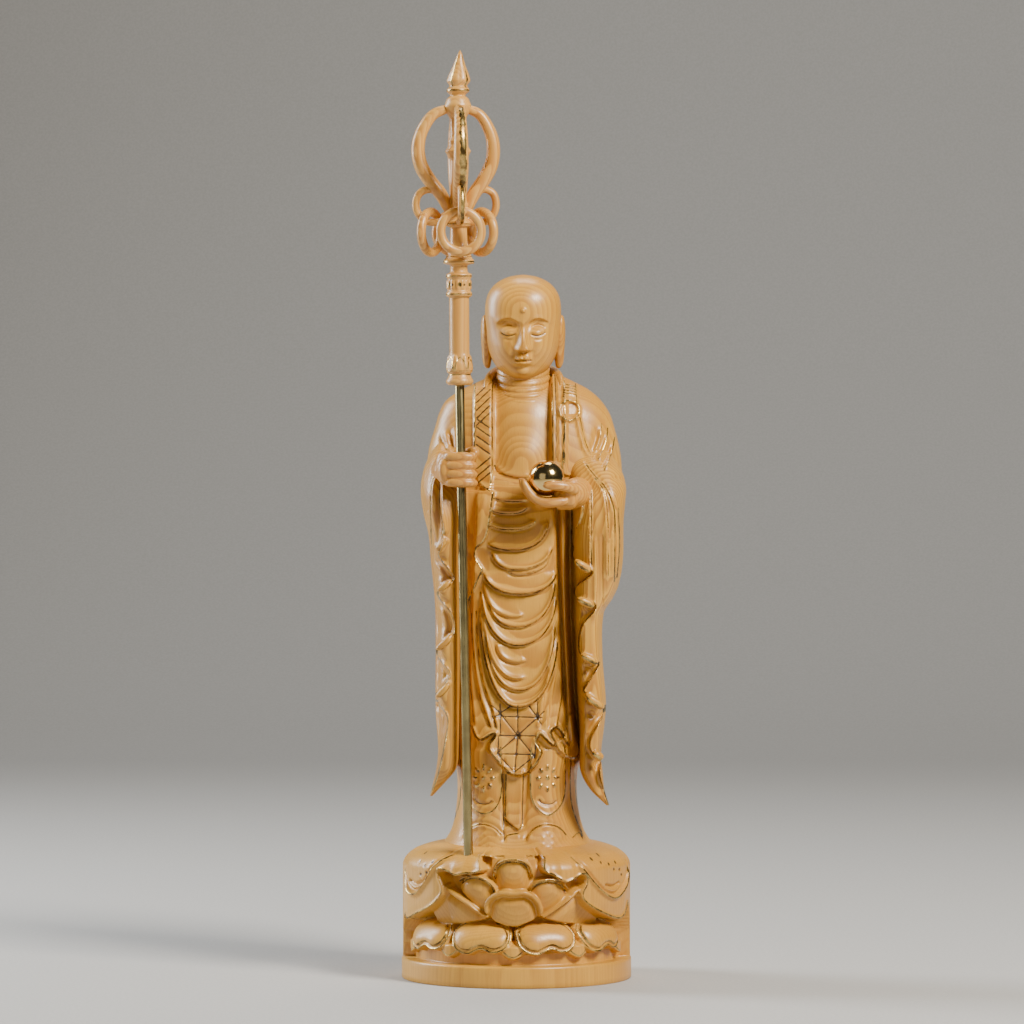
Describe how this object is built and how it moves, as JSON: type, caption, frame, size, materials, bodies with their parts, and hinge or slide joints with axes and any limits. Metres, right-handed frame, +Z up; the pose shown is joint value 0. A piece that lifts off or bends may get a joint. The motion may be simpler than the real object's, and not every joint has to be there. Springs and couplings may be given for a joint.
{
  "type": "ksitigarbha statue",
  "caption": "Carved wooden standing Ksitigarbha on a lotus throne, holding a ringed staff on a brass rod and a polished brass jewel.",
  "frame": {"origin": "centre of the round plinth's flat underside", "axes": "+Z up; the figure faces -Y; +X is the viewer's right, which is the figure's left"},
  "size_m": [0.0648, 0.0688, 0.2599],
  "materials": {
    "boxwood": "oiled and hand polished, with thin gilt lines on the carved edges",
    "polished_brass": "mirror polished",
    "drawn_brass": "dull, as drawn"
  },
  "bodies": {
    "root": {"figure": "boxwood", "jewel": "polished_brass", "staff_rod": "drawn_brass", "staff_head": "boxwood", "ring_front": "boxwood", "ring_back": "boxwood", "ring_left": "boxwood", "ring_right": "boxwood"}
  },
  "joints": []
}
